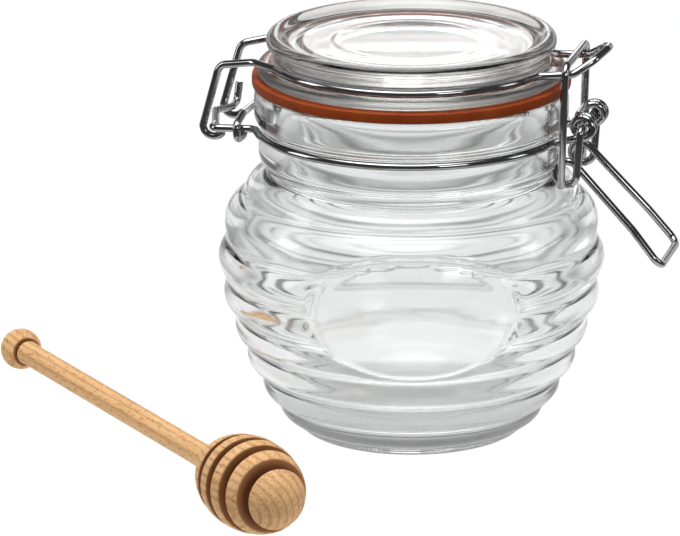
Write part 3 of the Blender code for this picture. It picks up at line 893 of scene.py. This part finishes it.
def pressed_surface():
    """Slow waves that lie round the jar, as pressing leaves them in glass."""
    tree, n, given, result = surface_group("pressed_surface", [("Height", "NodeSocketFloat"),
                                                               ("Haze", "NodeSocketFloat")])
    place = n.add("ShaderNodeTexCoord").outputs["Object"]
    layered = n.add("ShaderNodeMapping", {"Vector": place, "Scale": (1.0, 1.0, 3.2)})
    slow = n.add("ShaderNodeTexNoise", {"Vector": layered.outputs["Vector"],
                                        "Scale": given.outputs["Scale"], "Detail": 2.0,
                                        "Distortion": 0.6})
    fine = n.add("ShaderNodeTexNoise", {"Vector": place, "Scale": 260.0, "Detail": 2.0})
    tree.links.new(slow.outputs["Fac"], result.inputs["Height"])
    tree.links.new(fine.outputs["Fac"], result.inputs["Haze"])
    return tree


def jar_dullness(n, place):
    """1 on the jar's stippled underside, less on its inner wall, 0 outside."""
    height = n.add("ShaderNodeSeparateXYZ", {"Vector": place}).outputs["Z"]
    under = n.add("ShaderNodeMapRange", {"Value": height, "From Min": STIPPLE_LOW,
                                         "From Max": STIPPLE_TOP, "To Min": 1.0,
                                         "To Max": 0.0}).outputs["Result"]
    inner = n.add("ShaderNodeAttribute", attribute_name="inner_wall").outputs["Fac"]
    zone = n.add("ShaderNodeMath", {0: inner, 1: INNER_HAZE, 2: under}, operation="MULTIPLY_ADD")
    return zone.outputs["Value"]


def flange_edge(n, place):
    """1 on the lid's unpolished outer edge, 0 inside it."""
    level = n.add("ShaderNodeVectorMath", {0: place, 1: (1.0, 1.0, 0.0)}, operation="MULTIPLY")
    away = n.add("ShaderNodeVectorMath", {0: level.outputs["Vector"]}, operation="LENGTH")
    zone = n.add("ShaderNodeMapRange", {"Value": away.outputs["Value"], "From Min": DULL_EDGE_START,
                                        "From Max": DULL_EDGE_R})
    return zone.outputs["Result"]


def glass_material(name, surface, scale, tint, wave_height, haze_roughness, dull_zone,
                   dull_roughness):
    """Clear pressed glass, dull in one zone."""
    mat, n, shader = new_material(name)
    shader.inputs["Transmission Weight"].default_value = 1.0
    shader.inputs["IOR"].default_value = GLASS_INDEX
    made = n.add("ShaderNodeGroup", node_tree=surface)
    made.inputs["Scale"].default_value = scale
    colour = n.ramp(made.outputs["Height"], [(0.3, tint), (0.8, CLEAR_GLASS)])
    place = n.add("ShaderNodeTexCoord").outputs["Object"]
    haze = n.add("ShaderNodeMapRange", {"Value": made.outputs["Haze"], "To Min": 0.0,
                                        "To Max": haze_roughness})
    rough = n.add("ShaderNodeMapRange", {"Value": dull_zone(n, place),
                                         "To Min": haze.outputs["Result"],
                                         "To Max": dull_roughness})
    bump = n.add("ShaderNodeBump", {"Height": made.outputs["Height"], "Distance": wave_height})
    join(mat, shader, Base_Color=colour, Roughness=rough.outputs["Result"],
         Normal=bump.outputs["Normal"])
    return mat


def make_glass():
    """The jar and its lid, both of pressed glass."""
    pressed = pressed_surface()
    make_jar(glass_material("clear_jar_glass", pressed, JAR_WAVE_SCALE, JAR_TINT, JAR_WAVE_HEIGHT,
                            JAR_HAZE, jar_dullness, STIPPLE_ROUGHNESS))
    make_lid(glass_material("clear_lid_glass", pressed, LID_WAVE_SCALE, LID_TINT, LID_WAVE_HEIGHT,
                            LID_HAZE, flange_edge, DULL_ROUGHNESS))


def drawn_surface():
    """Faint clouds of wear on bright wire."""
    tree, n, given, result = surface_group("drawn_surface", [("Wear", "NodeSocketFloat")])
    place = n.add("ShaderNodeTexCoord").outputs["Object"]
    cloud = n.add("ShaderNodeTexNoise", {"Vector": place, "Scale": given.outputs["Scale"],
                                         "Detail": 3.0})
    tree.links.new(cloud.outputs["Fac"], result.inputs["Wear"])
    return tree


def wire_material(name, surface, scale, colour):
    """Bright drawn steel wire, a little darker where it is worn."""
    mat, n, shader = new_material(name)
    shader.inputs["Metallic"].default_value = 1.0
    made = n.add("ShaderNodeGroup", node_tree=surface)
    made.inputs["Scale"].default_value = scale
    wear = made.outputs["Wear"]
    worn = tuple(c * WORN_SHARE for c in colour)
    base = n.ramp(wear, [(0.35, worn), (0.7, colour)])
    rough = n.add("ShaderNodeMapRange", {"Value": wear, "To Min": 0.04, "To Max": 0.11})
    bump = n.add("ShaderNodeBump", {"Height": wear, "Strength": 0.03, "Distance": 0.00002})
    join(mat, shader, Base_Color=base, Roughness=rough.outputs["Result"],
         Normal=bump.outputs["Normal"])
    return mat


def make_wires():
    """The four wires; the lever and the link are of the same steel."""
    drawn = drawn_surface()
    half = lid_wire_half()
    grip = lever_half()
    neck_steel = wire_material("neck_wire_steel", drawn, NECK_WEAR_SCALE, WIRE_STEEL)
    wire("neck_wire_bent", neck_wire_path(), neck_steel, "jar", "neck_wire")
    lid_steel = wire_material("lid_wire_steel", drawn, LID_WEAR_SCALE, LID_WIRE_STEEL)
    wire("lid_wire_bent", half + mirrored(half)[1:], lid_steel, "lid", "lid_wire")
    lever_steel = wire_material("lever_steel", drawn, LEVER_WEAR_SCALE, WIRE_STEEL)
    wire("lever_bent", grip + mirrored(grip)[1:], lever_steel, "lever", "lever")
    wire("link_bent", link_path(), lever_steel, "link", "link")


def rubber_material():
    """Orange sealing rubber, a little mottled."""
    mat, n, shader = new_material("orange_seal_rubber")
    place = n.add("ShaderNodeTexCoord").outputs["Object"]
    cloud = n.add("ShaderNodeTexNoise", {"Vector": place, "Scale": 180.0, "Detail": 4.0})
    cloud = cloud.outputs["Fac"]
    base = n.ramp(cloud, [(0.3, RUBBER_DARK), (0.7, RUBBER_LIGHT)])
    rough = n.add("ShaderNodeMapRange", {"Value": cloud, "To Min": 0.45, "To Max": 0.6})
    shader.inputs["Specular IOR Level"].default_value = 0.25
    bump = n.add("ShaderNodeBump", {"Height": cloud, "Strength": 0.3, "Distance": 0.00008})
    join(mat, shader, Base_Color=base, Roughness=rough.outputs["Result"],
         Normal=bump.outputs["Normal"])
    return mat


def along_grain(n, place, share):
    """Places squeezed along the stick, so that a texture is stretched along the grain."""
    return n.add("ShaderNodeMapping", {"Vector": place, "Scale": (1.0, 1.0, share)}).outputs["Vector"]


def beech_rings(n, place):
    """Colour of the growth rings, whose middle lies beside the stick."""
    shifted = n.add("ShaderNodeMapping", {"Vector": place, "Location": (0.016, 0.006, 0.0),
                                          "Scale": (1.0, 1.0, 0.06)})
    rings = n.add("ShaderNodeTexWave", {"Vector": shifted.outputs["Vector"], "Scale": 150.0,
                                        "Distortion": 2.0, "Detail": 2.0, "Detail Scale": 1.0},
                  wave_type="RINGS", rings_direction="Z")
    return n.ramp(rings.outputs["Fac"], [(0.05, RING_DARK), (0.45, RING_LIGHT)])


def beech_streaks(n, place):
    """Colour of the wood between its rings, in long soft streaks."""
    streaks = n.add("ShaderNodeTexNoise", {"Vector": along_grain(n, place, 0.08), "Scale": 420.0,
                                           "Detail": 4.0})
    return n.ramp(streaks.outputs["Fac"], [(0.3, BEECH_DARK), (0.55, BEECH_MIDDLE),
                                           (0.75, BEECH_LIGHT)])


def beech_flecks(n, place):
    """Share of the short dark flecks that mark beech."""
    flecks = n.add("ShaderNodeTexVoronoi", {"Vector": along_grain(n, place, 0.3), "Scale": 950.0})
    fleck = n.add("ShaderNodeMapRange", {"Value": flecks.outputs["Distance"], "From Min": 0.10,
                                         "From Max": 0.26, "To Min": 0.75, "To Max": 0.0})
    return fleck.outputs["Result"]


def beech_material():
    """Turned beech: growth rings, fine pores and dark flecks along the grain, and painted shade in the
    grooves.
    """
    mat, n, shader = new_material("turned_beech")
    place = n.add("ShaderNodeAttribute", attribute_name="lathe_place").outputs["Vector"]
    pores = n.add("ShaderNodeTexNoise", {"Vector": along_grain(n, place, 0.16), "Scale": 1900.0,
                                         "Detail": 3.0, "Roughness": 0.6}).outputs["Fac"]
    pore = n.add("ShaderNodeMapRange", {"Value": pores, "From Min": 0.54, "From Max": 0.68,
                                        "To Max": 0.65})
    # painted shade in the grooves, darkest where they are deepest
    painted_groove_shade = n.add("ShaderNodeAttribute", attribute_name="painted_groove_shade").outputs["Fac"]
    groove_shade_colour = n.ramp(painted_groove_shade, [(0.06, GROOVE_SHADE_EDGE), (0.45, GROOVE_SHADE_DEEP)])
    edge = n.add("ShaderNodeMapRange", {"Value": painted_groove_shade, "From Min": 0.01, "From Max": 0.08})
    ringed = n.mix(0.55, beech_streaks(n, place), beech_rings(n, place))
    pored = n.mix(pore.outputs["Result"], ringed, PORE)
    flecked = n.mix(beech_flecks(n, place), pored, FLECK)
    base = n.mix(edge.outputs["Result"], flecked, groove_shade_colour)
    rough = n.add("ShaderNodeMapRange", {"Value": pores, "To Min": 0.5, "To Max": 0.75})
    shader.inputs["Specular IOR Level"].default_value = 0.25
    bump = n.add("ShaderNodeBump", {"Height": pores, "Strength": 0.4, "Distance": 0.0001})
    join(mat, shader, Base_Color=base, Roughness=rough.outputs["Result"],
         Normal=bump.outputs["Normal"])
    return mat


def paper_material():
    """Paper that is plain white to the camera; to every other ray it is a painted glow: a painted pool
    of light round and behind the jar, a painted shadow under the jar, painted dark paper elsewhere.
    """
    mat, n, shader = new_material("paper_painted_glow")
    place = n.add("ShaderNodeTexCoord").outputs["Object"]
    spot = n.add("ShaderNodeVectorMath", {0: place, 1: (0.0, PAPER_Y, 0.0)}).outputs["Vector"]
    away = n.add("ShaderNodeVectorMath", {0: spot}, operation="LENGTH").outputs["Value"]
    far = n.add("ShaderNodeMapRange", {"Value": away, "From Max": PAPER_REACH}).outputs["Result"]
    # painted glow by the distance from the jar: a painted shadow under it, a painted pool of light
    # round it
    ring = n.ramp(far, [(share, (light, light, light)) for share, light in PAPER_PAINTED_GLOW])
    # painted light behind the jar and painted dark paper in front of it
    depth = n.add("ShaderNodeVectorMath", {0: spot, 1: STRAIGHT_BACK}, operation="DOT_PRODUCT")
    behind = n.add("ShaderNodeMath", {0: depth.outputs["Value"], 1: away}, operation="DIVIDE")
    lit = n.add("ShaderNodeMapRange", {"Value": behind.outputs["Value"], "From Min": BACK_DARK,
                                       "From Max": BACK_LIT, "To Min": PAINTED_DARK_PAPER},
                interpolation_type="SMOOTHSTEP").outputs["Result"]
    # painted pool of light close round the jar
    patch = n.add("ShaderNodeMapRange", {"Value": away, "From Min": PATCH_R, "From Max": PATCH_END_R,
                                         "To Min": 1.0, "To Max": 0.0},
                  interpolation_type="SMOOTHSTEP").outputs["Result"]
    bright = n.add("ShaderNodeMath", {0: lit, 1: patch}, operation="MAXIMUM").outputs["Value"]
    # the camera sees plain white paper; every other ray sees only the painted glow
    seen = n.add("ShaderNodeLightPath").outputs["Is Camera Ray"]
    shine = n.mix(seen, n.mix(bright, BLACK, ring), WHITE)
    # near-black body: painted shade, so that the lamps add next to nothing to the painted glow
    shader.inputs["Base Color"].default_value = PAPER_PAINTED_DARK_BODY
    shader.inputs["Roughness"].default_value = 0.9
    shader.inputs["Specular IOR Level"].default_value = 0.0
    shader.inputs["Emission Strength"].default_value = 1.0
    join(mat, shader, Emission_Color=shine)
    return mat


def sheet_material():
    """A white sheet with light behind it, bright in the middle and fading to its edge."""
    mat, n, shader = new_material("lit_sheet")
    place = n.add("ShaderNodeTexCoord").outputs["Object"]
    away = n.add("ShaderNodeVectorMath", {0: place}, operation="LENGTH").outputs["Value"]
    glow = n.add("ShaderNodeMapRange", {"Value": away, "From Min": SHEET_BRIGHT_R, "From Max": SHEET_R,
                                        "To Min": SHEET_LIGHT, "To Max": 0.0},
                 interpolation_type="SMOOTHSTEP")
    shader.inputs["Base Color"].default_value = BLACK
    shader.inputs["Specular IOR Level"].default_value = 0.0
    shader.inputs["Emission Color"].default_value = WHITE
    join(mat, shader, Emission_Strength=glow.outputs["Result"])
    return mat


def make_sheet():
    """The round sheet of light above the jar."""
    leave_all()
    bpy.ops.mesh.primitive_circle_add(vertices=SHEET_CORNERS, radius=SHEET_R, fill_type="NGON",
                                      location=SHEET_PLACE)
    sheet = bpy.context.active_object
    sheet.name = "light_sheet"
    sheet.visible_camera = False
    sheet.data.materials.append(sheet_material())


def make_floor():
    """The paper that the jar stands on."""
    leave_all()
    bpy.ops.mesh.primitive_plane_add(size=PAPER_SIZE, location=(0, PAPER_Y, PAPER_Z))
    floor = bpy.context.active_object
    floor.name = "paper_floor"
    floor.data.materials.append(paper_material())


def soft_box(name, place, aim, width, height, brightness):
    """A flat lamp that faces a point; its brightness is that of its face, whatever its size."""
    light = bpy.data.lights.new(name, "AREA")
    light.shape = "RECTANGLE"
    light.size = width
    light.size_y = height
    light.energy = brightness * math.pi * width * height
    obj = bpy.data.objects.new(name, light)
    obj.location = place
    obj.rotation_euler = (Vector(aim) - Vector(place)).to_track_quat("-Z", "Y").to_euler()
    bpy.context.scene.collection.objects.link(obj)


def make_light():
    """The room's faint light and the lamps."""
    world = bpy.data.worlds.new("studio")
    bpy.context.scene.world = world
    world.use_nodes = True
    back = world.node_tree.nodes["Background"]
    back.inputs["Color"].default_value = ROOM_LIGHT
    for lamp in LAMPS:
        soft_box(*lamp)


def make_camera():
    """The photograph's camera, shifted sideways because the jar isn't in the middle."""
    cam = bpy.data.cameras.new("camera")
    cam.sensor_width = SENSOR
    cam.lens = LENS_PIXELS * SENSOR / IMAGE_WIDTH
    cam.shift_x = (IMAGE_WIDTH / 2 - JAR_AXIS_PIXEL) / IMAGE_WIDTH
    cam.clip_end = VIEW_DEPTH
    obj = bpy.data.objects.new("camera", cam)
    x = CAMERA_DISTANCE * math.sin(CAMERA_TURN)
    y = -CAMERA_DISTANCE * math.cos(CAMERA_TURN)
    obj.location = Vector((x, y, CAMERA_HEIGHT)) * MM
    obj.rotation_euler = (math.pi / 2 - CAMERA_TILT, 0.0, CAMERA_TURN)
    bpy.context.scene.collection.objects.link(obj)
    bpy.context.scene.camera = obj


def main():
    make_camera()
    make_floor()
    make_sheet()
    make_light()
    make_glass()
    make_seal(rubber_material())
    make_wires()
    make_dipper(beech_material())
    bpy.context.scene.view_settings.view_transform = "Standard"


main()
